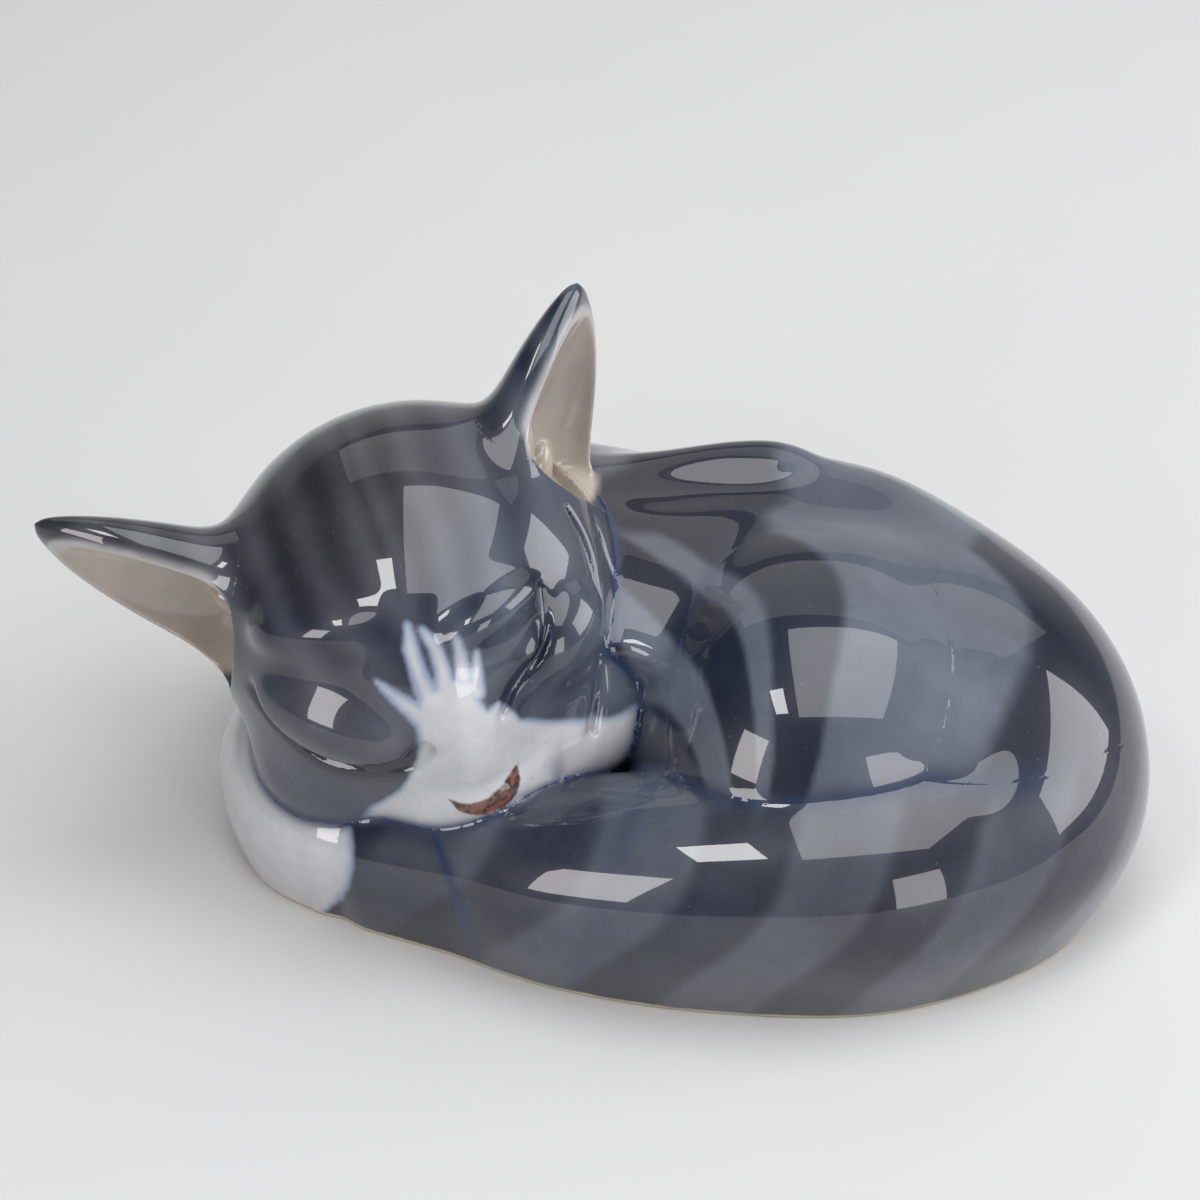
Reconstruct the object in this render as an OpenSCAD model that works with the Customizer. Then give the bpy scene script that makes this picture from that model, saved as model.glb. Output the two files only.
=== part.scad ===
// Sleeping cat figurine in glazed ceramic, curled on its side with the tail
// wrapped round to the front. Slip-cast hollow sections luted together:
// body, head, haunch, tail, forepaw and two ears, closed below by a vented plate.
// Millimetres. Origin at the middle of the body's foot, +Z up, table at z = 0,
// the face and the tail towards -Y, the head towards -X, the rump towards +X.

/* [Body] */
// length of the body ellipsoid from its middle to the rump
body_half_length = 62; // [58:1:66]
// width of the body ellipsoid from its middle to the spine
body_half_width = 47; // [44:1:50]
// height of the back above its centre line
back_rise = 34; // [31:1:36]
// thickness of the cast walls
wall = 4; // [3:0.5:5]

/* [Head] */
// radius of the skull from ear to ear
skull_radius = 40; // [38:0.5:42]
// length of an ear from its root to its tip
ear_length = 41.5; // [36:0.5:45]
// width of an ear at its root
ear_half_width = 18; // [15:0.5:20]
// how far the head is turned on its neck, degrees
head_turn = 0; // [-4:1:4]

/* [Tail and legs] */
// thickness of the tail at its thickest
tail_radius = 23.5; // [21:0.5:25]
// length of the thigh seen from the front, half
haunch_half_length = 37; // [34:1:40]
// radius of the forepaw
paw_radius = 15; // [13:0.5:16]

/* [Foot] */
// thickness of the plate that closes the casting
plate_thickness = 4; // [3:0.5:5]
// radius of the firing vent through the plate
vent_radius = 4; // [3:0.5:6]

/* [Surface] */
// mesh columns round the body
columns = 72; // [60:4:80]

/* [Hidden] */
glaze = [0.42, 0.46, 0.53];
dark_glaze = [0.33, 0.37, 0.45];
white_glaze = [0.86, 0.87, 0.88];
bisque = [0.83, 0.79, 0.72];
ear_pink = [0.66, 0.63, 0.60];

// ---- soft joins and basic solids, all as signed fields, negative inside ----
function smin(a, b, k) = let (h = max(k - abs(a - b), 0) / k) min(a, b) - h * h * h * k / 6;
function smax(a, b, k) = -smin(-a, -b, k);
function sstep(x, a, b) = let (t = min(max((x - a) / (b - a), 0), 1)) t * t * (3 - 2 * t);
function ell(p, c, r) = let (q = p - c, a = [q.x / r.x, q.y / r.y, q.z / r.z],
    k0 = norm(a), k1 = norm([a.x / r.x, a.y / r.y, a.z / r.z]) + 1e-6) k0 * (k0 - 1) / k1;
// the same, its first axis along e and its last towards o
function rell(p, c, r, e, o) = let (a = unit(e), n = unit(o - a * (o * a)), b = cross(n, a), q = p - c)
    ell([q * a, q * b, q * n], [0, 0, 0], r);
function sell(p, c, r, n) = let (q = p - c,
    a = [abs(q.x / r.x) + 1e-6, abs(q.y / r.y) + 1e-6, abs(q.z / r.z) + 1e-6],
    s = pow(a.x, n) + pow(a.y, n) + pow(a.z, n), k0 = pow(s, 1 / n), m = pow(s, 1 / n - 1),
    g = [pow(a.x, n - 1) / r.x * m, pow(a.y, n - 1) / r.y * m, pow(a.z, n - 1) / r.z * m])
    (k0 - 1) / norm(g);
function seg(p, a, b) = let (u = [b.x - a.x, b.y - a.y, b.z - a.z], q = p - [a.x, a.y, a.z],
    t = min(max((q * u) / (u * u), 0), 1)) norm(q - u * t) - (a[3] + (b[3] - a[3]) * t);
function tube(p, c) = min([for (i = [0 : len(c) - 2]) seg(p, c[i], c[i + 1])]);
// smooth curve through the given centres, each row x, y, z, radius
function cr(p, t) = 0.5 * (2 * p[1] + (p[2] - p[0]) * t + (2 * p[0] - 5 * p[1] + 4 * p[2] - p[3]) * t * t
    + (3 * p[1] - p[0] - 3 * p[2] + p[3]) * t * t * t);
function spline(c, n) = let (m = len(c), e = concat([2 * c[0] - c[1]], c, [2 * c[m - 1] - c[m - 2]]))
    concat([for (i = [0 : m - 2], j = [0 : n - 1]) cr([e[i], e[i + 1], e[i + 2], e[i + 3]], j / n)], [c[m - 1]]);
// the undersides swell out again to a broad foot: heights below 20 are squashed
function sq(p) = let (u = max(20 - p.z, 0)) [p.x, p.y, p.z + 0.014 * u * u];

// ---- the figure ----
// the spine's curve and the fold of loose skin over the shoulder
spine = spline([[6, 26, 38, 18], [28, 24, 40, 20], [45, 13, 38, 19], [56, -2, 34, 19]], 2);
shoulder = spline([[-22, 18, 55, 10], [-6, 23, 56, 9], [10, 26.5, 57, 8.5], [19, 29, 56.5, 7], [26, 31, 53, 4.5]], 2);
function f_body(q) = let (p = sq(q),
    a = ell(p, [0, 3, 29], [body_half_length, body_half_width, back_rise]),
    b = smin(a, ell(p, [-38, 20, 32], [44, 34, 32]), 30),
    c = smin(b, ell(p, [42, -15, 30], [43, 42, 32]), 25),
    d = smin(smin(c, tube(p, spine), 12), tube(p, shoulder), 5),
    e = smax(d, -ell(p, [-14, -38, 42], [11, 15, 22]), 6))
    smax(e, -rell(p, [0, 14, 73], [19, 9, 9], [1, 0.35, 0], [0, -0.4, 1]), 5);
function f_thigh(q) = smin(f_body(q), sell(sq(q), [25, -18, 24], [haunch_half_length + 0.5, 41, 43.5], 2.3),
    4 + 6 * sstep(q.x, 30, 70));
tk = tail_radius / 23.5;
tail_curve = spline([[52, 4, 26, 20], [64, -18, 23.5, 21.5], [60, -36, 22.5, 22.5 * tk], [35, -48, 22, 23.5 * tk],
    [6, -49, 20, 21.5 * tk], [-20, -45, 17.5, 18.5 * tk], [-40, -37, 15.5, 16 * tk], [-56, -31, 14, 14.5 * tk]], 3);
function f_tail(q) = smin(f_thigh(q), tube(sq(q), tail_curve), 3 + 12 * sstep(q.x, 46, 68));
paw_curve = spline([[-65, -26, 14, paw_radius - 0.5], [-73, -19, 14.5, paw_radius], [-77, -6, 14.5, paw_radius - 0.5],
    [-72, 8, 14, paw_radius - 1]], 3);
function f_paw(q) = tube(sq(q), paw_curve);

// head frame: left across the face, up to the crown, out through the nose
cam = 36;
function lift(v) = [v.x, v.y * sin(cam) - v.z * cos(cam), v.y * cos(cam) + v.z * sin(cam)];
function unit(v) = v / norm(v);
function spin(v, a) = [v.x * cos(a) - v.y * sin(a), v.x * sin(a) + v.y * cos(a), v.z];
hc = [-50, -9, 50];
hf = spin(unit(lift([0.263, -0.68, 0.68])), head_turn);
hl0 = spin(unit(lift([0.93, 0.36, 0])), head_turn);
hl = unit(hl0 - hf * (hl0 * hf));
hu0 = cross(hl, hf);
hu = hu0.z < 0 ? -hu0 : hu0;
function loc(p) = let (q = p - hc) [q * hl, q * hu, q * hf];
function f_head(p) = let (q = loc(p), s = skull_radius / 40,
    a = ell(q, [-0.5, 2, -4], [39 * s, 36 * s, 40 * s]),
    b = smin(a, ell(q, [-21, -14, 10], [19, 17, 18]), 12),
    c = smin(b, ell(q, [20, -15, 15], [17, 16, 20]), 12),
    d = smin(c, ell(q, [0, -16, 26], [18, 13, 15]), 12))
    smin(d, ell(q, [0, 4, 27], [8, 16, 9.5]), 8);

// walk in from outside along a ray until the field is zero
function walk(f, o, d, t, n) = let (v = f(o + d * t)) (n == 0 || abs(v) < 0.004) ? t : walk(f, o, d, t - v * 0.9, n - 1);

// skin of a solid that stands on the table: rays fan from flat at the foot to straight up at the top
module standing(f, o, top, nc, nr, foot = 0) {
    pts = concat([for (j = [0 : nr - 1], i = [0 : nc - 1])
        let (e = 90 * j / nr, a = 360 * i / nc, c = [o.x, o.y, foot + top * pow(j / nr, 0.8)],
            d = [cos(e) * cos(a), cos(e) * sin(a), sin(e)]) c + d * walk(f, c, d, 130, 40)],
        [let (c = [o.x, o.y, top]) c + [0, 0, walk(f, c, [0, 0, 1], 100, 40)], [o.x, o.y, foot]]);
    faces = concat([for (j = [0 : nr - 2], i = [0 : nc - 1]) let (a = j * nc + i, b = j * nc + (i + 1) % nc)
            each [[a, a + nc, b], [b, a + nc, b + nc]]],
        [for (i = [0 : nc - 1]) [(nr - 1) * nc + i, nr * nc, (nr - 1) * nc + (i + 1) % nc]],
        [for (i = [0 : nc - 1]) [i, (i + 1) % nc, nr * nc + 1]]);
    polyhedron(points = pts, faces = faces, convexity = 6);
}
// skin of a rounded solid about a centre, poles along the z of the frame given
module ball(f, o, fx, fy, fz, nc, nr, far = 80, dense = 1) {
    pts = concat([for (j = [1 : nr - 1], i = [0 : nc - 1])
        let (e = 180 * pow(j / nr, dense), a = 360 * i / nc, d = fx * (sin(e) * cos(a)) + fy * (sin(e) * sin(a)) + fz * cos(e))
            o + d * walk(f, o, d, far, 40)],
        [o + fz * walk(f, o, fz, far, 40), o - fz * walk(f, o, -fz, far, 40)]);
    n = (nr - 1) * nc;
    faces = concat([for (j = [0 : nr - 3], i = [0 : nc - 1]) let (a = j * nc + i, b = j * nc + (i + 1) % nc)
            each [[a, b, a + nc], [b, b + nc, a + nc]]],
        [for (i = [0 : nc - 1]) [i, n, (i + 1) % nc]],
        [for (i = [0 : nc - 1]) [(nr - 2) * nc + i, (nr - 2) * nc + (i + 1) % nc, n + 1]]);
    polyhedron(points = pts, faces = faces, convexity = 6);
}
rows = 24;
mid = [4, -5, 0];
// joint is the slip line left between two cast sections
joint = 0.15;
module full_skin(g = 0) standing(function (p) f_tail(p) - g, mid, 26, columns, rows);
module core(g = 0) standing(function (p) f_body(p) + 2.5 - g, mid, 26, 56, 18);
module hollow() standing(function (p) f_body(p) + 2.5 + wall, mid, 26, 40, 12, plate_thickness);
module thigh_block(g = 0) ball(function (p) sell(p, [25, -18, 24], [haunch_half_length + 0.5, 41, 43.5], 2.3) - 3 - g,
    [25, -18, 26], [1, 0, 0], [0, 1, 0], [0, 0, 1], 44, 22, 90);
module tail_block(g = 0) rope(tail_curve, 3 + g);
module head_skin() ball(function (p) f_head(p), hc, hl, hu, hf, 48, 26, 80, 1);
module head_hollow() ball(function (p) f_head(p) + wall, hc + hf * -4, hl, hu, hf, 24, 12, 80, 1);
module paw_skin() ball(function (p) f_paw(p), [-74, -10, 14], [0, 0, 1], [1, 0, 0], [0, 1, 0], 20, 14, 60, 1);
module under(h = 0) translate([-200, -200, -60]) cube([400, 400, 60 + h]);
// tapered rope along a smooth curve, rounded at both ends
module rope(c, g, ns = 20) {
    n = len(c);
    dir = function (i) let (a = c[max(i - 1, 0)], b = c[min(i + 1, n - 1)]) unit([b.x - a.x, b.y - a.y, b.z - a.z]);
    ring = function (i, s, r) let (t = dir(i), u = unit(cross([0, 0, 1], t)), v = cross(t, u), o = [c[i].x, c[i].y, c[i].z] + t * s)
        [for (k = [0 : ns - 1]) o + (u * cos(360 * k / ns) + v * sin(360 * k / ns)) * r];
    r0 = c[0][3] + g; r1 = c[n - 1][3] + g;
    cap = [80, 60, 40, 20];
    pts = concat([for (a = cap) each ring(0, -r0 * sin(a), r0 * cos(a))],
        [for (i = [0 : n - 1]) each ring(i, 0, c[i][3] + g)],
        [for (k = [3 : -1 : 0]) each ring(n - 1, r1 * sin(cap[k]), r1 * cos(cap[k]))]);
    m = n + 8;
    faces = concat([for (j = [0 : m - 2], i = [0 : ns - 1]) let (a = j * ns + i, b = j * ns + (i + 1) % ns)
            each [[a, a + ns, b], [b, a + ns, b + ns]]],
        [[for (i = [0 : ns - 1]) i]], [[for (i = [ns - 1 : -1 : 0]) (m - 1) * ns + i]]);
    polyhedron(points = [for (p = pts) unsq(p)], faces = faces, convexity = 8);
}
// the height at which the squashed field has the value wanted
function unsq(p) = let (k = 0.014, w = max(20 - p.z, 0), d = max(1 - 4 * k * w, 0.04)) [p.x, p.y, p.z >= 20 ? p.z : 20 - (1 - sqrt(d)) / (2 * k) - max(w - 0.96 / (4 * k), 0) * 3];
module plate_outline() {
    translate([-18, -2]) circle(r = 24, $fn = 64);
    translate([6, -2]) circle(r = 24, $fn = 64);
    translate([-18, -26]) square([24, 48]);
}
module neck(r, f0, f1) {
    // slip drain from the head into the body
    a = hc + (([-10, 6, 34] - hc) * f0); b = hc + (([-10, 6, 34] - hc) * f1);
    hull() { translate(a) sphere(r = r, $fn = 16); translate(b) sphere(r = r, $fn = 16); }
}

// ---- ears: tapered leaves, cupped on the inner side ----
function taper(t) = pow(1 - pow(max(t, 0), 1.6), 0.65);
module leaf(root, A, N, w, m, len, n0, base, nt = 14, ns = 20) {
    W = cross(N, A);
    pts = concat([for (j = [0 : nt - 1], i = [0 : ns - 1])
        let (y = base + (len * 0.985 - base) * (j / nt), t = y / len, s = taper(t) * sqrt(max(1 - pow(max(-y, 0) / 16.5, 2), 0.02)), th = 360 * i / ns)
            root + A * y + W * (w * s * cos(th)) + N * ((m * s * (1 - 0.25 * max(t, 0)) + 0.3) * sin(th) + n0)],
        [root + A * (len * 0.985) + N * n0, root + A * base + N * n0]);
    faces = concat([for (j = [0 : nt - 2], i = [0 : ns - 1]) let (a = j * ns + i, b = j * ns + (i + 1) % ns)
            each [[a, a + ns, b], [b, a + ns, b + ns]]],
        [for (i = [0 : ns - 1]) [(nt - 1) * ns + i, nt * ns, (nt - 1) * ns + (i + 1) % ns]],
        [for (i = [0 : ns - 1]) [i, (i + 1) % ns, nt * ns + 1]]);
    polyhedron(points = pts, faces = faces, convexity = 4);
}
module ear(root, a0, n0, dw, dl, m) {
    A = unit(a0);
    N = unit(n0 - A * (n0 * A));
    w = ear_half_width + dw;
    len = ear_length + dl;
    difference() {
        leaf(root, A, N, w, m, len, 0, -14);
        leaf(root, A, N, w - 2.4, m - 0.6, len - 3, m * 0.5, -8);
    }
}

// Boolean work on the cast skins is done on their meshes, in one go.
module cast() resize([0, 0, 0]) children();

module base_plate() color(bisque) difference() {
    linear_extrude(plate_thickness) plate_outline();
    translate([-30, -2, -1]) cylinder(r = vent_radius, h = plate_thickness + 2, $fn = 48);
}
module body_shell() color(glaze) cast() difference() {
    union() {
        difference() {
            full_skin();
            thigh_block(joint);
            tail_block(joint);
        }
        core();
    }
    hollow();
    translate([0, 0, -1]) linear_extrude(plate_thickness + 1.01) plate_outline();
    neck(6, 0, 1);
}
module haunch() color(glaze) cast() difference() {
    intersection() { full_skin(); thigh_block(); }
    tail_block(joint);
    core(joint);
    under(20);
}
module tail() color(dark_glaze) cast() difference() {
    intersection() { full_skin(); tail_block(); }
    core(joint);
}
module forepaw() color(white_glaze) cast() difference() { paw_skin(); full_skin(joint); under(); }
module head_shell() color(glaze) cast() difference() {
    head_skin();
    full_skin(joint);
    paw_skin();
    under(24);
    head_hollow();
    neck(6, 0, 1);
}
module left_ear() color(ear_pink) cast() difference() {
    ear(hc + lift([-35, 3, 2]), lift([-40, 16, 14]), lift([-0.25, -0.86, 0.42]), -0.5, 1.6, 11);
    head_skin();
}
module right_ear() color(ear_pink) cast() difference() {
    ear(hc + lift([19, 28, 0]), lift([10.5, 38, 13]), lift([0.9, -0.1, 0.43]), 0, -2.6, 10.5);
    head_skin();
    full_skin(joint);
}

base_plate();
body_shell();
haunch();
tail();
forepaw();
head_shell();
left_ear();
right_ear();
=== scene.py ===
import math
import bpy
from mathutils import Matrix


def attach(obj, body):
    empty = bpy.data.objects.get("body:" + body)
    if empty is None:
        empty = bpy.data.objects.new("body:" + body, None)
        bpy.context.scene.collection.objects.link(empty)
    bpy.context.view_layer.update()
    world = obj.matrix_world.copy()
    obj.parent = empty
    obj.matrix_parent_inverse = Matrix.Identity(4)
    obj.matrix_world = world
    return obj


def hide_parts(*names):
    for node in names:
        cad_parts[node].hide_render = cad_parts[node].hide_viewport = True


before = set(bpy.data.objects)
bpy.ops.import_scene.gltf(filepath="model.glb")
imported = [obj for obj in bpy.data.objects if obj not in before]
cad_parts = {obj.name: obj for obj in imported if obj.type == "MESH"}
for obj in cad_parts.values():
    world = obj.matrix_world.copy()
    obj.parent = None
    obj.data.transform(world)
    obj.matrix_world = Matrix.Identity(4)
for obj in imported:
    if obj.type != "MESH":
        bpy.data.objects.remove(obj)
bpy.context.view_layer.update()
from concurrent.futures import ThreadPoolExecutor

import bpy
import numpy as np
from mathutils import Vector

f32 = np.float32
MM = 0.001

# ---------------------------------------------------------------- fields (millimetres, negative inside)


def unit(v):
    v = np.asarray(v, float)
    return v / np.linalg.norm(v)


def smin(a, b, k):
    h = np.maximum(k - np.abs(a - b), 0) / k
    return np.minimum(a, b) - h * h * h * k * (1 / 6.0)


def smax(a, b, k):
    return -smin(-a, -b, k)


def sstep(x, a, b):
    t = np.clip((x - a) / (b - a), 0, 1)
    return t * t * (3 - 2 * t)


def bump(x, c, w):
    return np.exp(-(((x - c) / w) ** 2))


def ell(P, c, r, R=None):
    q = P - np.asarray(c, f32)
    if R is not None:
        q = q @ np.asarray(R, f32).T
    a = q / np.asarray(r, f32)
    k0 = np.sqrt((a * a).sum(1))
    b = a / np.asarray(r, f32)
    k1 = np.sqrt((b * b).sum(1)) + 1e-6
    return k0 * (k0 - 1) / k1


def sell(P, c, r, n):
    q = P - np.asarray(c, f32)
    r = np.asarray(r, f32)
    a = np.abs(q / r) + 1e-6
    s = (a**n).sum(1)
    k0 = s ** (1.0 / n)
    g = (a ** (n - 1) / r) * (s ** (1.0 / n - 1))[:, None]
    return (k0 - 1) / np.sqrt((g * g).sum(1))


def catmull(p, n):
    p = np.asarray(p, float)
    p = np.vstack([2 * p[0] - p[1], p, 2 * p[-1] - p[-2]])
    out = []
    for i in range(1, len(p) - 2):
        a, b, c, d = p[i - 1 : i + 3]
        for t in np.arange(n) / n:
            out.append(0.5 * (2 * b + (c - a) * t + (2 * a - 5 * b + 4 * c - d) * t * t + (3 * b - a - 3 * c + d) * t**3))
    out.append(p[-2])
    return np.array(out)


def tube(P, pts, n=3, want_t=False):
    """Distance to a tapered tube along a smooth curve through rows of x, y, z, radius."""
    p = np.asarray(pts, float)
    p = np.vstack([2 * p[0] - p[1], p, 2 * p[-1] - p[-2]])
    K = len(p) - 3
    co = np.array(
        [
            0.5
            * np.stack(
                [
                    2 * p[i],
                    -p[i - 1] + p[i + 1],
                    2 * p[i - 1] - 5 * p[i] + 4 * p[i + 1] - p[i + 2],
                    -p[i - 1] + 3 * p[i] - 3 * p[i + 1] + p[i + 2],
                ]
            )
            for i in range(1, len(p) - 2)
        ]
    ).astype(f32)
    C = catmull(pts, n).astype(f32)
    best = np.full(len(P), 1e9, f32)
    bt = np.zeros(len(P), f32)
    for i in range(len(C) - 1):
        a = C[i, :3]
        ab = C[i + 1, :3] - a
        t = np.clip(((P - a) @ ab) / (ab @ ab), 0, 1)
        d = P - a - t[:, None] * ab
        v = np.sqrt((d * d).sum(1)) - (C[i, 3] + (C[i + 1, 3] - C[i, 3]) * t)
        m = v < best
        best = np.where(m, v, best)
        bt = np.where(m, (i + t) / n, bt)
    for _ in range(2):
        k = np.clip(bt.astype(int), 0, K - 1)
        u = (bt - k)[:, None]
        q = co[k]
        f = q[:, 0] + q[:, 1] * u + q[:, 2] * u * u + q[:, 3] * u**3
        g = q[:, 1] + 2 * q[:, 2] * u + 3 * q[:, 3] * u * u
        h = 2 * q[:, 2] + 6 * q[:, 3] * u
        d = P - f[:, :3]
        L = np.sqrt((d * d).sum(1)) + 1e-6
        gg = (g[:, :3] ** 2).sum(1)
        d1 = -(d * g[:, :3]).sum(1) / L - g[:, 3]
        d2 = np.maximum((gg - (d * h[:, :3]).sum(1)) / L, gg / L * 0.3)
        bt = np.clip(bt - np.clip(d1 / d2, -0.3, 0.3), 0, K)
    k = np.clip(bt.astype(int), 0, K - 1)
    u = (bt - k)[:, None]
    q = co[k]
    f = q[:, 0] + q[:, 1] * u + q[:, 2] * u * u + q[:, 3] * u**3
    d = P - f[:, :3]
    best = np.sqrt((d * d).sum(1)) - f[:, 3]
    return (best, bt / K) if want_t else best


# ---------------------------------------------------------------- the figure

E = math.radians(36.0)


def tilt(x, up, out):
    """A vector given across, up and out of a plane tilted back by 36 degrees."""
    return np.array([x, up * math.sin(E) - out * math.cos(E), up * math.cos(E) + out * math.sin(E)])


HF = unit(tilt(0.263, -0.68, 0.68))
HL = unit(tilt(0.93, 0.36, 0.0))
HL = unit(HL - HF * (HL @ HF))
HU = unit(np.cross(HL, HF))
if HU[2] < 0:
    HU = -HU
HC = np.array([-50.0, -9.0, 50.0])
HR = np.stack([HL, HU, HF])


def head_local(P):
    return (P - HC.astype(f32)) @ HR.T.astype(f32)


def face_map(q):
    """Degrees away from the nose direction, across and up."""
    r = np.sqrt((q * q).sum(1)) + 1e-6
    th = np.degrees(np.arccos(np.clip(q[:, 2] / r, -1, 1)))
    h = np.hypot(q[:, 0], q[:, 1]) + 1e-6
    return th * q[:, 0] / h, th * q[:, 1] / h


def axes(e1, out):
    e1 = unit(e1)
    e3 = unit(np.asarray(out, float) - e1 * (np.asarray(out, float) @ e1))
    return np.stack([e1, np.cross(e3, e1), e3])


def squash(P):
    u = np.maximum(20 - P[:, 2], 0)
    Q = P.copy()
    Q[:, 2] += 0.014 * u * u
    return Q


TAIL = [(52, 4, 26, 20), (64, -18, 23.5, 21.5), (60, -36, 22.5, 22.5), (35, -48, 22, 23.5), (6, -49, 20, 21.5), (-20, -45, 17.5, 18.5), (-40, -37, 15.5, 16), (-56, -31, 14, 14.5)]
PAW = [(-65, -26, 14, 14.5), (-73, -19, 14.5, 15), (-77, -6, 14.5, 14.5), (-72, 8, 14, 14)]
SHOULDER = [(-22, 18, 55, 10), (-6, 23, 56, 9), (10, 26.5, 57, 8.5), (19, 29, 56.5, 7), (26, 31, 53, 4.5)]
SPINE = [(6, 26, 38, 18), (28, 24, 40, 20), (45, 13, 38, 19), (56, -2, 34, 19)]


def f_torso(P):
    d = smin(ell(P, (0, 3, 29), (62, 47, 34)), ell(P, (-38, 20, 32), (44, 34, 32)), 30)
    d = smin(d, ell(P, (42, -15, 30), (43, 42, 32)), 25)
    d = smin(d, tube(P, SPINE), 12)
    d = smin(d, tube(P, SHOULDER), 5)
    # channel between the cheek and the thigh
    d = smax(d, -ell(P, (-14, -38, 42), (11, 15, 22)), 6)
    return smax(d, -ell(P, (0, 14, 73), (19, 9, 9), axes((1, 0.35, 0), (0, -0.4, 1))), 5)


def f_haunch(P):
    return sell(P, (25, -18, 24), (37.5, 41, 43.5), 2.3)


def f_tail(P):
    return tube(P, TAIL)


def f_paw(P):
    return tube(P, PAW)


LID_L = [(-8, 4.5, 35), (-12, 1.5, 34.5), (-18, 1.5, 32.5), (-25, 3, 27.5), (-31, 7, 22), (-35, 13, 14)]
LID_R = [(8, 6, 34.5), (11, 9, 33.4), (14.6, 10.8, 31.5), (18.3, 12, 29.5), (21.5, 16, 27), (23, 20, 22)]
RUFF = [
    [(32, 19, 4), (33, 14.5, 9), (32.5, 9, 15.5), (30, 3, 22), (26, -3, 28), (21.5, -9, 33)],
    [(35.5, 12, 1), (36.5, 6, 7), (36, 0, 14), (34, -6, 21), (30, -12, 28)],
]


def curve(P, pts, r):
    return tube(P, [(*p, r) for p in pts], 3)


def f_head_q(q):
    d = ell(q, (-0.5, 2, -4), (39, 36, 40))
    d = smin(d, ell(q, (-21, -14, 10), (19, 17, 18)), 12)
    d = smin(d, ell(q, (20, -15, 15), (17, 16, 20)), 12)
    d = smin(d, ell(q, (0, -16, 26), (18, 13, 15)), 12)
    # bridge of the nose
    d = smin(d, ell(q, (0, 4, 27), (8, 16, 9.5), axes((1, 0, 0), (0, 0.5, 1))), 8)
    # eyelids
    d = smin(d, ell(q, (-21, 9.5, 22.5), (16, 8, 8.6), axes((-0.68, 0.28, -0.66), (-0.6, 0.25, 0.75))), 5)
    d = smin(d, ell(q, (22, 8, 22), (11, 9, 9), axes((0.75, 0.2, -0.6), (0.6, 0.3, 0.75))), 5)
    # brows
    d = smin(d, ell(q, (-18, 24, 15), (13, 6, 7.5), axes((0.85, 0.1, 0.5), (-0.45, 0.6, 0.65))), 6)
    d = smin(d, ell(q, (12, 20.5, 23.5), (11, 5, 6.8), axes((0.9, -0.1, -0.4), (0.3, 0.6, 0.7))), 5)
    # creases below the lids and the folds of the ruff
    d = smax(d, -curve(q, LID_L, 1.9), 3)
    d = smax(d, -curve(q, LID_R, 0.5), 2.6)
    for r in RUFF:
        d = smax(d, -curve(q, r, 0.3), 3.2)
    # nose leather
    d = smin(d, ell(q, (0, -10.5, 37), (8, 3.6, 3.4), axes((1, 0, 0), (0, -0.3, 1))), 2.5)
    return d


def leaf(q, w, m, top, n0, base):
    t = np.clip(q[:, 1] / top, base / top, 0.99)
    tp = np.maximum(t, 0)
    s = (1 - tp**1.6) ** 0.65 * np.sqrt(np.maximum(1 - (np.maximum(-q[:, 1], 0) / 16.5) ** 2, 0.02))
    ww = w * s
    mm = m * s * (1 - 0.25 * tp) + 0.3
    k0 = np.sqrt((q[:, 0] / ww) ** 2 + ((q[:, 2] - n0) / mm) ** 2)
    k1 = np.sqrt((q[:, 0] / ww**2) ** 2 + ((q[:, 2] - n0) / mm**2) ** 2) + 1e-6
    d = k0 * (k0 - 1) / k1 * 0.9
    return smax(smax(d, (q[:, 1] - top) * 0.8, 2), -(q[:, 1] - base), 2)


def ear(P, root, A, N, w, ln, m):
    A = unit(A)
    N = unit(N - A * (N @ A))
    R = np.stack([np.cross(A, N), A, N])
    q = (P - root.astype(f32)) @ R.T.astype(f32)
    return leaf(q, w, m, ln, 0, -16), leaf(q, w - 2.4, m - 0.6, ln - 3, m * 0.5, -10), q


def f_ear_r(P):
    return ear(P, HC + tilt(19, 28, 0), tilt(10.5, 38, 13), tilt(0.9, -0.1, 0.43), 18, 38.5, 10.5)


def f_ear_l(P):
    return ear(P, HC + tilt(-35, 3, 2), tilt(-40, 16, 14), tilt(-0.25, -0.86, 0.42), 17.5, 42.5, 11)


FAR = 1e3


def parts(P, use):
    """Every separate form's own field at the points, keyed by piece."""
    Q = squash(P)
    z = np.full(len(P), FAR, f32)
    out = {k: z for k in ("torso", "haunch", "tail", "paw", "head", "ear_l", "ear_r")}
    for k, fn, p in (("torso", f_torso, Q), ("haunch", f_haunch, Q), ("tail", f_tail, Q), ("paw", f_paw, Q)):
        if k in use:
            out[k] = fn(p)
    if "head" in use:
        out["head"] = f_head_q(head_local(P))
    for k, fn in (("ear_l", f_ear_l), ("ear_r", f_ear_r)):
        if k in use:
            out[k], out[k + "_cup"], q = fn(P)
            # folded tufts at the root of the ear lining
            d = smin(ell(q, (2, -2, -4), (4.5, 11, 3.6)), ell(q, (-5.5, -4, -3), (3.6, 9, 3.8)), 2)
            out[k + "_tuft"] = smin(d, ell(q, (9, -4, -2), (3.4, 8, 3.2)), 2)
    return out


def whole(P, use):
    """The one continuous skin, soft joins included."""
    o = parts(P, use)
    x = P[:, 0]
    d = smin(o["torso"], o["haunch"], 4 + 6 * sstep(x, 30, 70))
    d = smin(d, o["tail"], 3 + 12 * sstep(x, 46, 68))
    d = smin(d, o["paw"], 2)
    h = o["head"]
    for e in ("ear_l", "ear_r"):
        if e in use:
            h = smin(h, o[e], 12)
            h = smax(h, -o[e + "_cup"], 1.8)
            h = smin(h, o[e + "_tuft"], 1.5)
    d = smin(d, h, 2.5)
    return smax(d, -P[:, 2], 1.0), o


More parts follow.
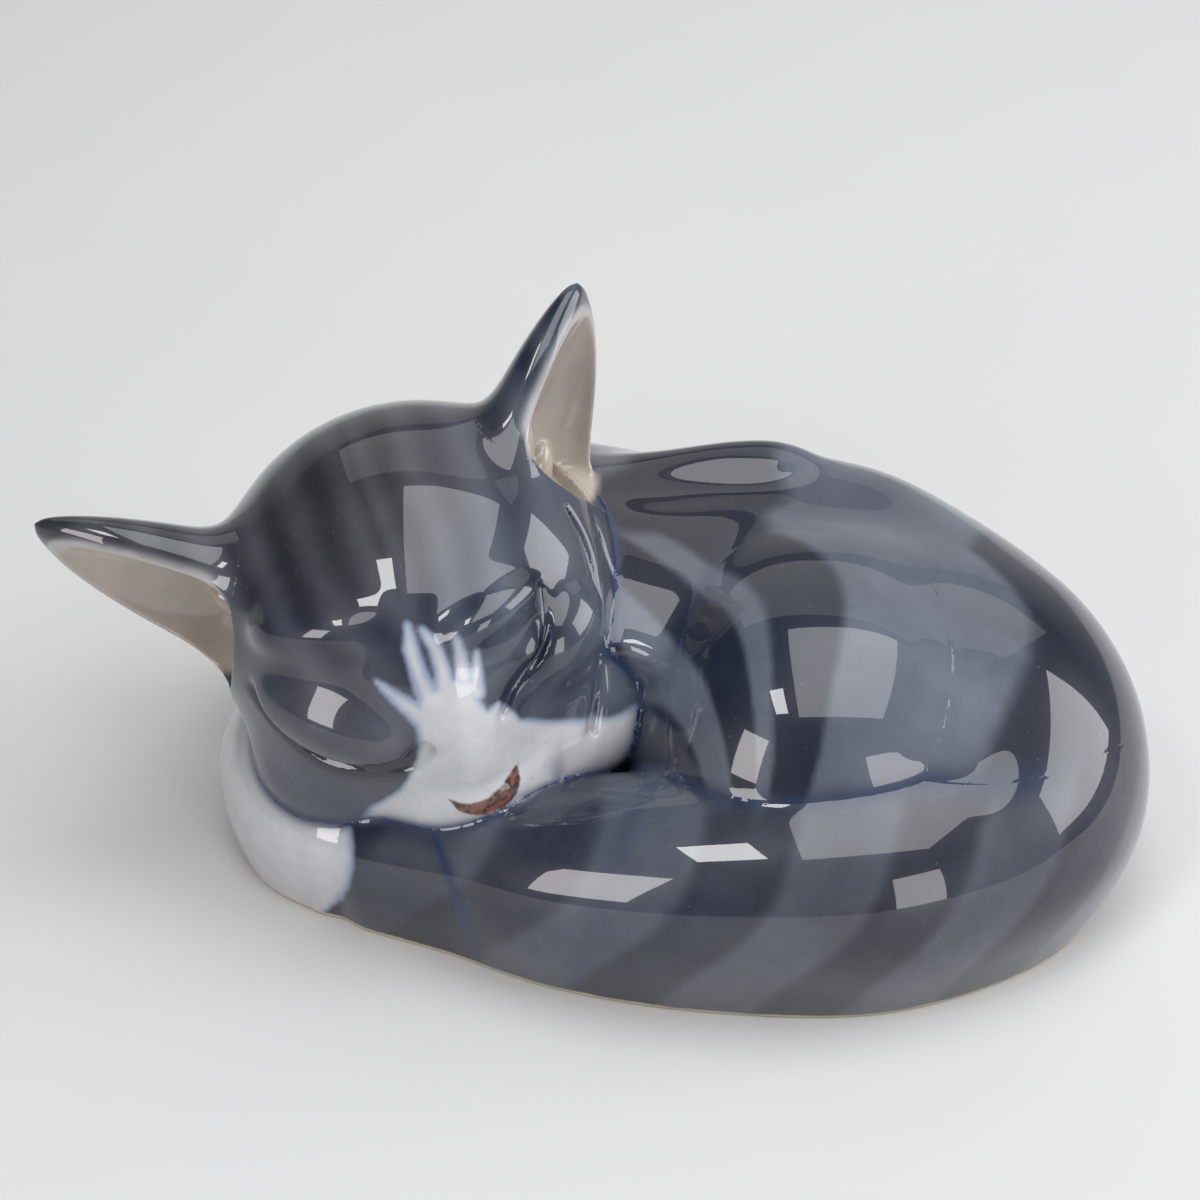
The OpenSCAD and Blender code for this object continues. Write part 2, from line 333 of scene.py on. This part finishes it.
PLATE_C = ((-18, -2), (6, -2))


def plate(P, grow, top):
    x = np.maximum(np.maximum(-18 - P[:, 0], P[:, 0] - 6), 0)
    r = np.sqrt(x * x + (P[:, 1] + 2) ** 2) - 24 - grow
    return np.maximum(r, P[:, 2] - top)


ALL = ("torso", "haunch", "tail", "paw", "head", "ear_l", "ear_r")
NEAR = {
    "torso": ("torso", "haunch", "tail", "paw", "head"),
    "haunch": ("torso", "haunch", "tail"),
    "tail": ("torso", "haunch", "tail", "paw", "head"),
    "paw": ("torso", "tail", "paw", "head"),
    "head": ALL,
    "ear_l": ("head", "ear_l"),
    "ear_r": ("torso", "head", "ear_r"),
}


def piece_field(name):
    use = NEAR[name]

    def F(P):
        d, o = whole(P, use)
        rest = np.full(len(P), FAR, f32)
        for k in use:
            if k != name:
                rest = np.minimum(rest, o[k])
        r = o[name] - rest
        d = d + 0.25 * np.maximum(r, 0)
        d = smax(d, np.minimum(r, 60) * 0.5 - 1.5, 0.8)
        if name == "torso":
            d = np.maximum(d, -plate(P, 0.25, 4.3))
            d = np.maximum(d, -ell(P, (-30, -2, 8), (9, 9, 9)))
        return d

    return F


# ---------------------------------------------------------------- surface nets


def surface_nets(F, lo, hi, h, block=6):
    lo = np.asarray(lo, float)
    hi = np.asarray(hi, float)
    n = np.ceil((hi - lo) / (h * block)).astype(int)
    I = np.stack(np.meshgrid(*[np.arange(k) for k in n], indexing="ij"), -1).reshape(-1, 3)
    c = lo + (I + 0.5) * block * h
    f = F(c.astype(f32))
    I = I[np.abs(f) < block * h * 0.87 * 1.25 + 1.2]
    g = np.arange(block + 1)
    G = np.stack(np.meshgrid(g, g, g, indexing="ij"), -1).reshape(-1, 3)
    verts = []
    ids = {}
    N = (n * block + 2).astype(np.int64)
    keys_all, pos_all, sg = [], [], []
    step = max(1, 400000 // len(G))
    vals = []
    for s in range(0, len(I), step):
        J = I[s : s + step]
        K = (J[:, None, :] * block + G[None]).reshape(-1, 3)
        vals.append(F((lo + K * h).astype(f32)).reshape(len(J), block + 1, block + 1, block + 1))
    V = np.concatenate(vals)
    B = block
    corners = [(i, j, k) for i in (0, 1) for j in (0, 1) for k in (0, 1)]
    cv = np.stack([V[:, i : B + i, j : B + j, k : B + k] for i, j, k in corners], -1)
    ins = cv < 0
    act = ins.any(-1) & ~ins.all(-1)
    w = np.argwhere(act)
    cvv = cv[act]
    acc = np.zeros((len(w), 3))
    cnt = np.zeros(len(w))
    cc = np.array(corners, float)
    for a in range(8):
        for b in range(a + 1, 8):
            if np.abs(cc[a] - cc[b]).sum() != 1:
                continue
            va, vb = cvv[:, a], cvv[:, b]
            m = (va < 0) != (vb < 0)
            t = np.where(m, va / np.where(m, va - vb, 1), 0)
            acc[m] += (cc[a] + (cc[b] - cc[a]) * t[:, None])[m]
            cnt[m] += 1
    cell = I[w[:, 0]] * B + w[:, 1:]
    pos = lo + (cell + acc / cnt[:, None]) * h
    key = (cell[:, 0].astype(np.int64) * N[1] + cell[:, 1]) * N[2] + cell[:, 2]
    order = np.argsort(key)
    ks = key[order]
    quads = []
    for ax in range(3):
        o = [0, 0, 0]
        o[ax] = 1
        a_i = corners.index((0, 0, 0))
        b_i = corners.index(tuple(o))
        m = (cvv[:, a_i] < 0) != (cvv[:, b_i] < 0)
        flip = cvv[:, a_i] < 0
        u, v = [k for k in range(3) if k != ax]
        if ax == 1:
            u, v = v, u
        c0 = cell[m]
        fl = flip[m]
        k4 = []
        for du, dv in ((0, 0), (-1, 0), (-1, -1), (0, -1)):
            cc4 = c0.copy()
            cc4[:, u] += du
            cc4[:, v] += dv
            kk = (cc4[:, 0].astype(np.int64) * N[1] + cc4[:, 1]) * N[2] + cc4[:, 2]
            p = np.searchsorted(ks, kk)
            p = np.minimum(p, len(ks) - 1)
            ok = ks[p] == kk
            k4.append(np.where(ok, order[p], -1))
        q = np.stack(k4, -1)
        good = (q >= 0).all(1)
        q = q[good]
        fl = fl[good]
        q[~fl] = q[~fl][:, ::-1]
        quads.append(q)
    return pos, np.concatenate(quads)


TET = np.array([(1, 1, 1), (1, -1, -1), (-1, 1, -1), (-1, -1, 1)], f32)


def gradient(F, P, e=0.06):
    """Value and gradient from four samples at the corners of a small tetrahedron."""
    v = [F(P + t * f32(e)) for t in TET]
    g = sum(t[None, :] * x[:, None] for t, x in zip(TET, v)) / (4 * e)
    return sum(v) / 4, g


def snap(F, P, it=1):
    for _ in range(it):
        f, g = gradient(F, P.astype(f32))
        s = np.clip(f / np.maximum((g * g).sum(1), 0.2), -0.4, 0.4)
        P = P - g * s[:, None]
    f, g = gradient(F, P.astype(f32))
    return P, g / (np.linalg.norm(g, axis=1, keepdims=True) + 1e-9)


# ---------------------------------------------------------------- paint, as smooth values on the skin


def poly_sdf(x, y, pts):
    p = np.asarray(pts, float)
    d = np.full(len(x), 1e9)
    s = np.ones(len(x))
    for i in range(len(p)):
        a, b = p[i], p[i - 1]
        ex, ey = b - a
        wx, wy = x - a[0], y - a[1]
        t = np.clip((wx * ex + wy * ey) / (ex * ex + ey * ey), 0, 1)
        d = np.minimum(d, (wx - ex * t) ** 2 + (wy - ey * t) ** 2)
        c1, c2, c3 = y >= a[1], y < b[1], ex * wy > ey * wx
        s = np.where((c1 & c2 & c3) | (~c1 & ~c2 & ~c3), -s, s)
    return s * np.sqrt(d)


def stroke(x, y, pts):
    """Distance to a tapered brush stroke through rows of x, y, half width."""
    d = np.full(len(x), 1e9)
    for a, b in zip(pts[:-1], pts[1:]):
        ex, ey = b[0] - a[0], b[1] - a[1]
        t = np.clip(((x - a[0]) * ex + (y - a[1]) * ey) / (ex * ex + ey * ey), 0, 1)
        d = np.minimum(d, np.hypot(x - a[0] - ex * t, y - a[1] - ey * t) - (a[2] + (b[2] - a[2]) * t))
    return d


WHITE = [(-11, 22), (-7, 28), (-3, 28), (4, 28), (9, 25), (8, 19), (9, 14), (13, 14.5), (16, 8), (17, 4), (22, -1), (28, -6), (35, -11), (46, -17), (54, -40), (0, -70), (-48, -34), (-35, -17), (-24, -8), (-16, 2), (-12, 14)]
FINGERS = [
    [(-18.5, 33.5, 0.8), (-14, 27, 2.0), (-9, 20, 3.6)],
    [(-3.6, 46.5, 1.0), (-5.2, 40, 2.2), (-5.6, 32, 2.6), (-5, 24, 3.4)],
    [(0.4, 44, 0.8), (2.0, 38, 2.0), (1.6, 31, 2.4), (0, 26, 3.2)],
    [(8.6, 38.5, 0.8), (8.0, 33, 1.8), (6.4, 27, 2.6)],
    [(12.8, 32, 0.7), (11, 27, 1.5), (8, 21, 2.6)],
]
NOSE = [(-11, -11), (-6, -12), (0, -11.6), (5, -10.2), (11, -8), (9.5, -12), (5, -15), (0, -16.6), (-5, -15.6), (-9, -13.5)]
BANDS = [(-75, 8), (-48, 7), (-28, 5), (-7, 5.5), (13.5, 7.5), (51.5, 5), (71, 5), (84, 5.5), (102, 6), (122, 7), (146, 8), (170, 8)]


def paint(P, o):
    """tone 0 dark to 1 light with painted shade in the shoulder hollow and along the lids, warm, white and nose
    distances in mm, ear lining, pooled glaze with painted shade in the creases.
    """
    q = head_local(P)
    a, b = face_map(q)
    k = 0.64
    n = len(P)
    head = np.minimum(np.minimum(o["head"], o["ear_l"]), o["ear_r"])
    body = np.minimum(o["torso"], o["haunch"])
    is_head = (head < np.minimum(np.minimum(body, o["tail"]), o["paw"])).astype(float)
    is_paw = (o["paw"] < np.minimum(np.minimum(body, o["tail"]), head)).astype(float)
    # white blaze and muzzle
    w = poly_sdf(a, b, WHITE)
    for f in FINGERS:
        w = np.minimum(w, stroke(a, b, f))
    w = -w * k
    w = np.where(is_head > 0, w, -9)
    # forepaw and the tip beside it are white up to a painted edge
    limb = np.minimum(o["paw"], o["tail"]) < np.minimum(body, head)
    w = np.where(limb, np.clip(-63.5 - 0.018 * (P[:, 2] - 20) ** 2 - P[:, 0], -9, 6), w)
    nose = np.where(is_head > 0, -poly_sdf(a, b, NOSE) * k, -9)
    # forehead stripes run from the crown towards the nose
    wob = 1.8 * np.sin(q[:, 1] / 8.0) + 1.0 * np.sin(q[:, 1] / 3.7 + 1.7) + 1.2 * np.sin(q[:, 0] / 9.0)
    sx = np.abs(q[:, 0] + 1.5) ** 0.9 * (1 + 0.010 * (q[:, 1] - 10)) + wob
    th = 0.5 + 0.5 * np.cos(sx * 2 * np.pi / 8.6)
    up = sstep(q[:, 1], 10, 26)
    tone_h = 0.51 + 0.26 * (th - 0.5) * up - 0.12 * sstep(q[:, 1], 20, 40)
    # cheeks and lids are lighter; the lashes are dark, and this dark spreads as painted shade over the crease below
    # each lid
    tone_h = tone_h + 0.12 * (1 - up)
    lid = np.minimum(curve(q, LID_L, 0.0), curve(q, LID_R, 0.0))
    tone_h = tone_h - 0.5 * np.exp(-((lid / 3.4) ** 2))
    # body bands fan out across the back and thigh
    phi = np.degrees(np.arctan2(P[:, 0] - 5, P[:, 1] + 75))
    phi = phi + 0.6 * np.clip(P[:, 1] + 20, -32, 20) + 2.0 * np.sin(P[:, 1] / 11.0) + 1.5 * np.sin(P[:, 2] / 9.0 + 1)
    tb = np.full(n, 0.80)
    for c, h in BANDS:
        tb = tb - 0.64 * (1 - sstep(np.abs(phi - c), h * 0.8, h * 1.25))
    # tail bands slant back towards the foot
    ph = (P[:, 0] - 0.65 * P[:, 2] + 1.5 * np.sin(P[:, 2] / 6.0)) / 34.0
    tt = 0.5 + 0.5 * np.cos((ph + 0.44) * 2 * np.pi)
    tt = 0.62 - 0.30 * sstep(tt, 0.4, 0.7)
    tt = tt - 0.22 * (1 - sstep(P[:, 0], -50, -40))
    wt = sstep(body - o["tail"], -4, 4)
    tone_b = tb * (1 - wt) + tt * wt
    # painted shade: the tone is pulled dark inside the shoulder hollow
    shoulder_hollow_shade = ell(P, (0, 13, 66), (20, 10, 9), axes((1, 0.35, 0), (0, -0.4, 1)))
    tone_b = tone_b + (0.16 - tone_b) * (1 - sstep(shoulder_hollow_shade, -1, 4)) * (1 - wt)
    tone = np.where(is_head > 0, tone_h, tone_b)
    warm = np.where(is_head > 0, 0.9, np.where(wt > 0.5, 0.45, 0.25 + 0.6 * (1 - sstep(P[:, 0], -6, 12))))
    # ear lining
    inner = np.zeros(n)
    rim = np.zeros(n)
    for e in ("ear_l", "ear_r"):
        if e + "_cup" in o:
            inner = np.maximum(inner, (1 - sstep(o[e + "_cup"], 0.35, 1.3)) * (1 - sstep(o[e], 0.8, 2.2)))
            rim = np.maximum(rim, np.exp(-(((o[e + "_cup"] - 1.1) / 0.8) ** 2)) * (1 - sstep(o[e], 0.2, 1.0)) * is_head)
    # glaze pooled in the deep creases, together with painted shade: the joins between parts, the ruff folds and the
    # right lid crease are darkened
    x = P[:, 0]
    p1 = 0.45 * np.exp(-(((o["torso"] - o["haunch"]) / 1.2) ** 2)) * (1 - sstep(x, 0, 30))
    p2 = np.exp(-(((body - o["tail"]) / 1.6) ** 2)) * (1 - sstep(x, 56, 74))
    p3 = 1.5 * np.exp(-(((head - np.minimum(np.minimum(body, o["tail"]), o["paw"])) / 1.3) ** 2))
    p4 = 1.4 * np.exp(-(((body - o["paw"]) / 1.3) ** 2)) * (1 - is_head)
    pool = np.maximum(np.maximum(p1, p2) * (1 - is_head) * (1 - is_paw), np.maximum(p3, p4))
    if "head" in o:
        fold = np.minimum(np.minimum(curve(q, RUFF[0], 0.0), curve(q, RUFF[1], 0.0)), curve(q, LID_R, 0.0))
        pool = np.maximum(pool, 0.45 * np.exp(-((fold / 1.4) ** 2)) * is_head)
    return {"tone": tone, "warm": warm, "white": w, "nose": nose, "inner": inner, "rim": rim, "pool": pool}


# ---------------------------------------------------------------- meshes


def add_mesh(name, v, faces, mat, normals=None, attrs=None, smooth=True):
    me = bpy.data.meshes.new(name)
    v = np.asarray(v, float) * MM
    me.from_pydata(v.tolist(), [], [tuple(int(i) for i in f) for f in faces]) if not isinstance(faces, np.ndarray) else _fast(me, v, faces)
    me.validate(verbose=False)
    if smooth:
        me.polygons.foreach_set("use_smooth", np.ones(len(me.polygons), bool))
    for k, val in (attrs or {}).items():
        at = me.attributes.new(k, "FLOAT", "POINT")
        at.data.foreach_set("value", np.asarray(val, f32))
    if normals is not None and len(me.vertices) == len(normals):
        me.normals_split_custom_set_from_vertices(normals.tolist())
    me.update()
    ob = bpy.data.objects.new(name, me)
    bpy.context.scene.collection.objects.link(ob)
    me.materials.append(mat)
    return ob


def _fast(me, v, q):
    me.vertices.add(len(v))
    me.vertices.foreach_set("co", v.astype(f32).ravel())
    me.loops.add(q.size)
    me.loops.foreach_set("vertex_index", q.astype(np.int32).ravel())
    me.polygons.add(len(q))
    me.polygons.foreach_set("loop_start", np.arange(0, q.size, 4, dtype=np.int32))
    me.update(calc_edges=True)


def build(name, lo, hi, h):
    F = piece_field(name)
    v, q = surface_nets(F, lo, hi, h)
    v, nrm = snap(F, v)
    v[:, 2] = np.maximum(v[:, 2], 0)
    d, o = whole(v.astype(f32), ALL)
    return v, q, nrm, paint(v.astype(f32), o)


# ---------------------------------------------------------------- materials


class Nodes:
    def __init__(self, name):
        self.mat = bpy.data.materials.new(name)
        self.mat.use_nodes = True
        self.t = self.mat.node_tree
        self.t.nodes.clear()
        self.out = self.t.nodes.new("ShaderNodeOutputMaterial")
        self.bsdf = self.t.nodes.new("ShaderNodeBsdfPrincipled")
        self.t.links.new(self.bsdf.outputs[0], self.out.inputs[0])

    def n(self, kind, **kw):
        x = self.t.nodes.new(kind)
        for k, v in kw.items():
            setattr(x, k, v)
        return x

    def link(self, a, b):
        self.t.links.new(a, b)

    def put(self, sock, v):
        if isinstance(v, (int, float)):
            sock.default_value = v
        elif isinstance(v, (tuple, list)):
            sock.default_value = v if len(v) == 4 or sock.type == "VECTOR" else (*v, 1)
        else:
            self.link(v, sock)

    def attr(self, name):
        return self.n("ShaderNodeAttribute", attribute_name=name).outputs["Fac"]

    def math(self, op, a, b=0.0, clamp=False):
        x = self.n("ShaderNodeMath", operation=op, use_clamp=clamp)
        self.put(x.inputs[0], a)
        self.put(x.inputs[1], b)
        return x.outputs[0]

    def remap(self, v, a, b, c=0.0, d=1.0):
        x = self.n("ShaderNodeMapRange", interpolation_type="SMOOTHSTEP")
        self.put(x.inputs["Value"], v)
        for k, val in (("From Min", a), ("From Max", b), ("To Min", c), ("To Max", d)):
            x.inputs[k].default_value = val
        return x.outputs["Result"]

    def noise(self, scale, detail=3.0, rough=0.5, dist=0.0, vec=None, w=None):
        x = self.n("ShaderNodeTexNoise")
        x.inputs["Scale"].default_value = scale
        x.inputs["Detail"].default_value = detail
        x.inputs["Roughness"].default_value = rough
        x.inputs["Distortion"].default_value = dist
        self.link(vec if vec is not None else self.pos(), x.inputs["Vector"])
        return x.outputs["Fac"]

    def pos(self):
        if not hasattr(self, "_p"):
            self._p = self.n("ShaderNodeTexCoord").outputs["Object"]
        return self._p

    def mix(self, f, a, b, mode="MIX"):
        x = self.n("ShaderNodeMix", data_type="RGBA", blend_type=mode)
        self.put(x.inputs[0], f)
        self.put(x.inputs[6], a)
        self.put(x.inputs[7], b)
        return x.outputs[2]

    def ramp(self, f, stops):
        x = self.n("ShaderNodeValToRGB")
        e = x.color_ramp.elements
        while len(e) < len(stops):
            e.new(0.5)
        for s, (p, c) in zip(e, stops):
            s.position = p
            s.color = (*c, 1)
        self.put(x.inputs[0], f)
        return x.outputs[0]


def glaze_material(name):
    m = Nodes(name)
    p = m.pos()
    soft = m.noise(38, 4, 0.55, 0.6)
    fine = m.noise(260, 4, 0.6)
    broad = m.noise(14, 2, 0.5)
    brush = m.noise(90, 5, 0.65, 1.2)
    t = m.math("ADD", m.attr("tone"), m.math("MULTIPLY", m.math("SUBTRACT", soft, 0.5), 0.55))
    t = m.math("ADD", t, m.math("MULTIPLY", m.math("SUBTRACT", brush, 0.5), 0.22))
    cool = m.ramp(t, [(0.0, (0.005, 0.008, 0.019)), (0.28, (0.015, 0.020, 0.037)), (0.55, (0.045, 0.053, 0.076)), (0.85, (0.094, 0.109, 0.143)), (1.0, (0.125, 0.143, 0.184))])
    brown = m.ramp(t, [(0.0, (0.010, 0.009, 0.011)), (0.28, (0.023, 0.021, 0.025)), (0.55, (0.050, 0.048, 0.056)), (1.0, (0.108, 0.109, 0.124))])
    wf = m.math("MULTIPLY", m.attr("warm"), m.remap(broad, 0.35, 0.65), True)
    col = m.mix(wf, cool, brown)
    # white blaze with brushed, bleeding edges
    e = m.math("ADD", m.attr("white"), m.math("MULTIPLY", m.math("SUBTRACT", brush, 0.5), 1.6))
    e2 = m.math("ADD", m.attr("white"), m.math("MULTIPLY", m.math("SUBTRACT", soft, 0.5), 3.0))
    col = m.mix(m.remap(e, -0.9, 0.5), col, (0.22, 0.27, 0.37))
    wht = m.mix(m.remap(fine, 0.3, 0.7), (0.47, 0.475, 0.495), (0.42, 0.43, 0.455))
    col = m.mix(m.remap(e2, -0.3, 1.5), col, wht)
    # pooled glaze and painted crease shade: dark blue mixed in by the pool value
    pool = m.math("MULTIPLY", m.attr("pool"), 0.66, True)
    col = m.mix(pool, col, (0.012, 0.024, 0.065))
    # ear lining
    lin = m.mix(m.remap(soft, 0.3, 0.7), (0.45, 0.395, 0.335), (0.34, 0.295, 0.25))
    col = m.mix(m.attr("inner"), col, lin)
    col = m.mix(m.math("MULTIPLY", m.attr("rim"), m.remap(soft, 0.35, 0.6, 0.45, 0.85)), col, (0.42, 0.42, 0.43))
    # nose leather
    en = m.math("ADD", m.attr("nose"), m.math("MULTIPLY", m.math("SUBTRACT", fine, 0.5), 0.7))
    speck = m.noise(420, 3, 0.6, 0.8)
    rust = m.mix(m.remap(speck, 0.42, 0.58), (0.165, 0.070, 0.052), (0.040, 0.019, 0.016))
    rust = m.mix(m.remap(brush, 0.52, 0.66), rust, (0.22, 0.13, 0.115))
    col = m.mix(m.remap(en, -0.25, 0.25), col, rust)
    # small iron specks under the glaze
    dots = m.noise(1500, 1, 0.4)
    col = m.mix(m.remap(dots, 0.76, 0.82, 0.0, 0.55), col, (0.16, 0.14, 0.12))
    # unglazed foot ring
    z = m.n("ShaderNodeSeparateXYZ")
    m.link(p, z.inputs[0])
    foot = m.remap(m.math("ADD", z.outputs[2], m.math("MULTIPLY", m.math("SUBTRACT", brush, 0.5), 0.0012)), 0.0015, 0.0007)
    col = m.mix(foot, col, (0.50, 0.45, 0.35))
    m.link(col, m.bsdf.inputs["Base Color"])
    m.link(m.remap(foot, 0, 1, 0.38, 0.85), m.bsdf.inputs["Roughness"])
    m.link(m.remap(foot, 0, 1, 1.0, 0.0), m.bsdf.inputs["Coat Weight"])
    m.bsdf.inputs["Coat Roughness"].default_value = 0.012
    m.bsdf.inputs["Coat IOR"].default_value = 1.5
    m.bsdf.inputs["IOR"].default_value = 1.45
    m.bsdf.inputs["Specular IOR Level"].default_value = 0.25
    bmp = m.n("ShaderNodeBump")
    bmp.inputs["Strength"].default_value = 0.12
    bmp.inputs["Distance"].default_value = 0.0002
    m.link(m.noise(55, 2, 0.4), bmp.inputs["Height"])
    m.link(bmp.outputs[0], m.bsdf.inputs["Coat Normal"])
    return m.mat


def bisque_material(name):
    m = Nodes(name)
    g = m.noise(900, 5, 0.7)
    s = m.noise(60, 3, 0.5)
    col = m.mix(m.remap(g, 0.3, 0.7), (0.66, 0.60, 0.49), (0.58, 0.51, 0.40))
    col = m.mix(m.remap(s, 0.55, 0.8), col, (0.50, 0.43, 0.33))
    m.link(col, m.bsdf.inputs["Base Color"])
    m.link(m.remap(s, 0.3, 0.7, 0.75, 0.92), m.bsdf.inputs["Roughness"])
    b = m.n("ShaderNodeBump")
    b.inputs["Strength"].default_value = 0.4
    b.inputs["Distance"].default_value = 0.0002
    m.link(g, b.inputs["Height"])
    m.link(b.outputs[0], m.bsdf.inputs["Normal"])
    return m.mat


def floor_material(name):
    m = Nodes(name)
    a = m.noise(3.0, 4, 0.5)
    c = m.noise(40, 3, 0.5)
    col = m.mix(m.remap(a, 0.3, 0.7), (0.60, 0.597, 0.590), (0.575, 0.575, 0.573))
    # painted shade: the paper gets darker towards the front, near the camera
    s = m.n("ShaderNodeSeparateXYZ")
    m.link(m.pos(), s.inputs[0])
    col = m.mix(m.remap(s.outputs[1], -0.3, 0.2, 0.14, 0.0), col, (0.30, 0.30, 0.31))
    m.link(col, m.bsdf.inputs["Base Color"])
    m.link(m.remap(c, 0.3, 0.7, 0.55, 0.62), m.bsdf.inputs["Roughness"])
    m.bsdf.inputs["Specular IOR Level"].default_value = 0.2
    return m.mat


# ---------------------------------------------------------------- assembly

GLAZE = glaze_material("glaze_blue_grey")
BISQUE = bisque_material("bisque_clay")
FLOOR = floor_material("table_paper")

SETS = [
    ("torso", "body_shell", "grey_glaze", (-92, -72, -3), (96, 66, 84), 1.0),
    ("haunch", "haunch", "grey_glaze", (-22, -68, 0), (76, 20, 78), 0.9),
    ("tail", "tail", "dark_glaze", (-82, -84, -3), (100, 40, 62), 0.9),
    ("paw", "forepaw", "white_glaze", (-100, -62, -3), (-30, 28, 40), 0.8),
    ("head", "head_shell", "grey_glaze", (-98, -62, 10), (-2, 40, 100), 0.62),
    ("ear_l", "left_ear", "ear_glaze", (-130, -40, 24), (-70, 20, 86), 0.5),
    ("ear_r", "right_ear", "ear_glaze", (-52, -24, 58), (-4, 36, 120), 0.5),
]
shown = []
with ThreadPoolExecutor(4) as pool:
    made = list(pool.map(lambda s: build(s[0], s[3], s[4], s[5]), SETS))
for (name, node, slot, lo, hi, h), (v, q, nrm, at) in zip(SETS, made):
    ob = add_mesh("cat_" + name, v, q, GLAZE, nrm, at)
    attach(ob, "root")
    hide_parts(node)
    shown.append(ob)
    print("piece", name, len(v), "verts", v.min(0).round(1), v.max(0).round(1))


def foot_plate():
    n = 96
    out = []
    for i in range(n):
        t = 2 * math.pi * i / n
        cx = 6 if math.cos(t) >= 0 else -18
        out.append((cx + 23.9 * math.cos(t), -2 + 23.9 * math.sin(t)))
    ho = [(-30 + 4 * math.cos(2 * math.pi * i / n), -2 + 4 * math.sin(2 * math.pi * i / n)) for i in range(n)]

    def inset(pts, c, d):
        r = []
        for x, y in pts:
            cx = min(max(x, c[0]), c[1])
            L = math.hypot(x - cx, y - c[2])
            r.append((cx + (x - cx) * (L + d) / L, c[2] + (y - c[2]) * (L + d) / L))
        return r

    o_c, h_c = (-18, 6, -2), (-30, -30, -2)
    rings = [
        (inset(out, o_c, -0.5), 0.0),
        (out, 0.5),
        (out, 3.6),
        (inset(out, o_c, -0.4), 4.0),
        (inset(ho, h_c, 0.4), 4.0),
        (ho, 3.6),
        (ho, 0.5),
        (inset(ho, h_c, 0.5), 0.0),
    ]
    v = [(x, y, z) for pts, z in rings for x, y in pts]
    f = []
    for j in range(8):
        a, b = j * n, ((j + 1) % 8) * n
        for i in range(n):
            k = (i + 1) % n
            f.append((a + i, a + k, b + k, b + i))
    return v, f


v, f = foot_plate()
plate_ob = add_mesh("foot_plate", v, f, BISQUE, smooth=False)
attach(plate_ob, "root")
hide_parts("base_plate")
shown.append(plate_ob)

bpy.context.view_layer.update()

# ---------------------------------------------------------------- table, backdrop, light and camera


def plain(name, verts, faces, mat):
    me = bpy.data.meshes.new(name)
    me.from_pydata(verts, [], faces)
    me.polygons.foreach_set("use_smooth", np.ones(len(me.polygons), bool))
    ob = bpy.data.objects.new(name, me)
    bpy.context.scene.collection.objects.link(ob)
    me.materials.append(mat)
    return ob


W, prof = 2.4, [(-2.2, 0.0), (1.35, 0.0)]
for i in range(1, 11):
    t = math.pi / 2 * i / 10
    prof.append((1.35 + 0.35 * math.sin(t), 0.35 - 0.35 * math.cos(t)))
prof.append((1.70, 0.78))
vs = [(s * W, y, z) for y, z in prof for s in (-1, 1)]
fs = [(2 * i, 2 * i + 1, 2 * i + 3, 2 * i + 2) for i in range(len(prof) - 1)]
plain("table", vs, fs, FLOOR)

AIM = Vector((-0.010, -0.010, 0.040))


def softbox(name, az, el, dist, w, h, radiance, color=(1, 1, 1), roll=0.0):
    """A soft light seen from the figure at azimuth az (0 is the camera's side, + to the right) and elevation el."""
    a, e = math.radians(az), math.radians(el)
    d = Vector((math.sin(a) * math.cos(e), -math.cos(a) * math.cos(e), math.sin(e)))
    L = bpy.data.lights.new(name, "AREA")
    L.shape = "RECTANGLE"
    L.size, L.size_y = w, h
    L.energy = radiance * math.pi * w * h
    L.color = color
    ob = bpy.data.objects.new(name, L)
    ob.location = AIM + d * dist
    ob.rotation_euler = d.to_track_quat("Z", "Y").to_euler()
    if roll:
        ob.rotation_euler.rotate_axis("Z", math.radians(roll))
    bpy.context.scene.collection.objects.link(ob)
    return ob


def overhead(name, x0, x1, y0, y1, z, radiance, color=(1, 1, 1)):
    L = bpy.data.lights.new(name, "AREA")
    L.shape = "RECTANGLE"
    L.size, L.size_y = (x1 - x0) * z, (y1 - y0) * z
    L.energy = radiance * math.pi * L.size * L.size_y
    L.color = color
    ob = bpy.data.objects.new(name, L)
    ob.location = AIM + Vector(((x0 + x1) / 2 * z, (y0 + y1) / 2 * z, z))
    bpy.context.scene.collection.objects.link(ob)
    return ob


overhead("soft_top", -0.18, 0.66, -0.82, 0.36, 1.3, 3.5, (0.97, 0.98, 1.0))
overhead("lamp_top", -0.46, -0.30, -0.74, -0.36, 1.3, 13.0)
softbox("soft_front_left", -40, 20, 1.3, 0.42, 0.60, 7.5, (1.0, 0.96, 0.96))
softbox("soft_front_right", 28, 12, 1.5, 0.42, 0.70, 5.0, (1.0, 0.97, 0.97))
softbox("soft_right", 88, 24, 1.4, 1.2, 0.8, 5.0, (0.97, 0.98, 1.0))

softbox("soft_back", 172, 46, 1.6, 2.2, 0.9, 0.75, (1.0, 0.99, 0.98))

w = bpy.data.worlds.new("studio")
bpy.context.scene.world = w
w.use_nodes = True
w.node_tree.nodes["Background"].inputs[0].default_value = (0.055, 0.056, 0.06, 1)
w.node_tree.nodes["Background"].inputs[1].default_value = 1.0

cam = bpy.data.cameras.new("camera")
cam.sensor_width = 36
cam.lens = 120
cam_ob = bpy.data.objects.new("camera", cam)
TGT = Vector((-0.017, 0.025, 0.030))
cam_ob.location = TGT + 0.8 * Vector((0, -math.cos(E), math.sin(E)))
cam_ob.rotation_euler = (math.radians(54), 0, 0)
bpy.context.scene.collection.objects.link(cam_ob)
bpy.context.scene.camera = cam_ob
bpy.context.scene.view_settings.view_transform = "Standard"
bpy.context.scene.view_settings.look = "None"
